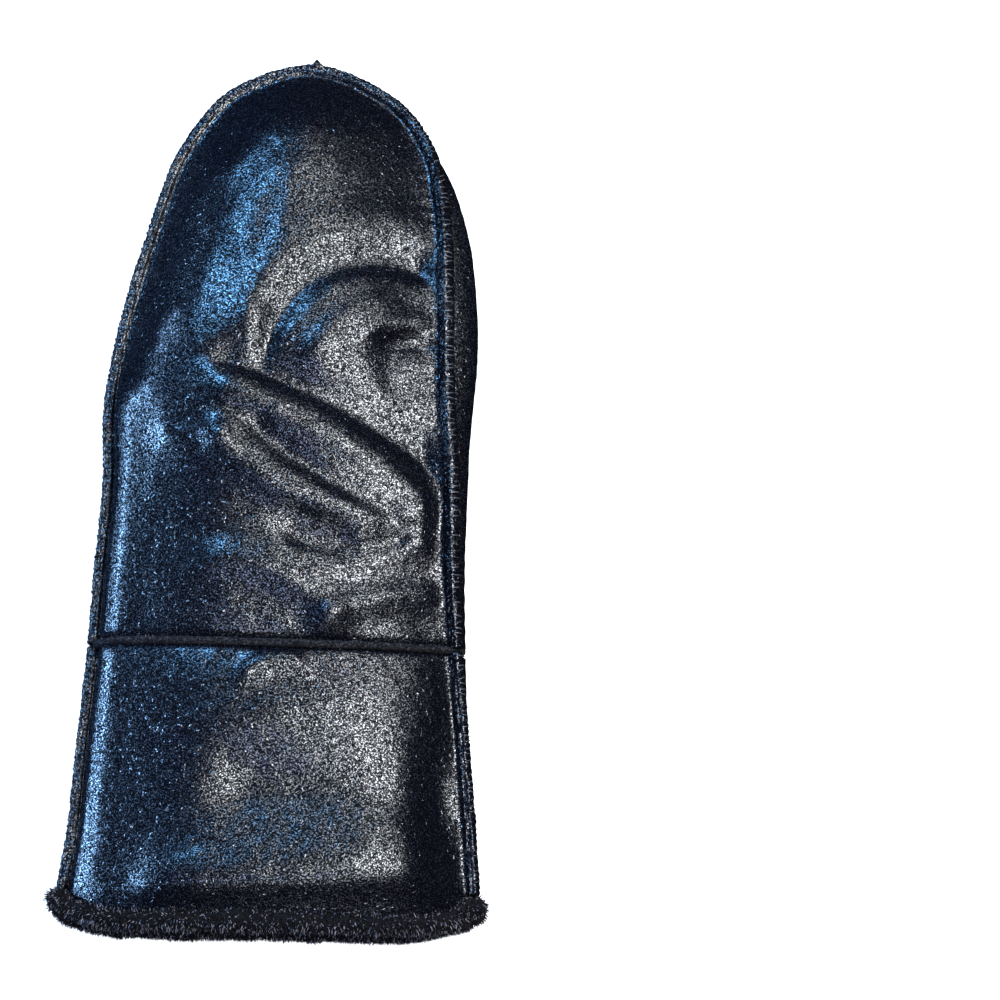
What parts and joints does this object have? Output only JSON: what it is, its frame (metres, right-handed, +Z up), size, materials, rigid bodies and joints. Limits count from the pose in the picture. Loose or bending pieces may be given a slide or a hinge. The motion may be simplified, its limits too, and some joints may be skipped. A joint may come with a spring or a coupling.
{
  "type": "lined leather mitten",
  "caption": "Black pebble-grained leather mitten with a flared cuff, raised whip-stitched edge seams, a rolled wrist seam and a black fleece lining that shows at the mouth, lying palm down.",
  "frame": {"origin": "on the surface that the mitten lies on, under the middle of its bounding box", "axes": "+Y along the mitten to the fingertips, -Y out of the mouth of the cuff, +X to the thumb side, +Z up out of the back of the hand"},
  "size_m": [0.13, 0.2735, 0.0374],
  "materials": {
    "black_leather": "black full-grain leather with a fine pebble grain and a soft gloss",
    "seam_edge": "matt edge of the sewn leather with short pale flecks of its stitches",
    "fleece": "short dense black pile, matt"
  },
  "bodies": {
    "root": {"back_panel": "black_leather", "palm_panel": "black_leather", "cuff_back": "black_leather", "cuff_palm": "black_leather", "thumb": "black_leather", "hand_seam": "seam_edge", "cuff_seam_left": "seam_edge", "cuff_seam_right": "seam_edge", "wrist_seam": "seam_edge", "thumb_seam": "seam_edge", "fleece_lining": "fleece"}
  },
  "joints": []
}
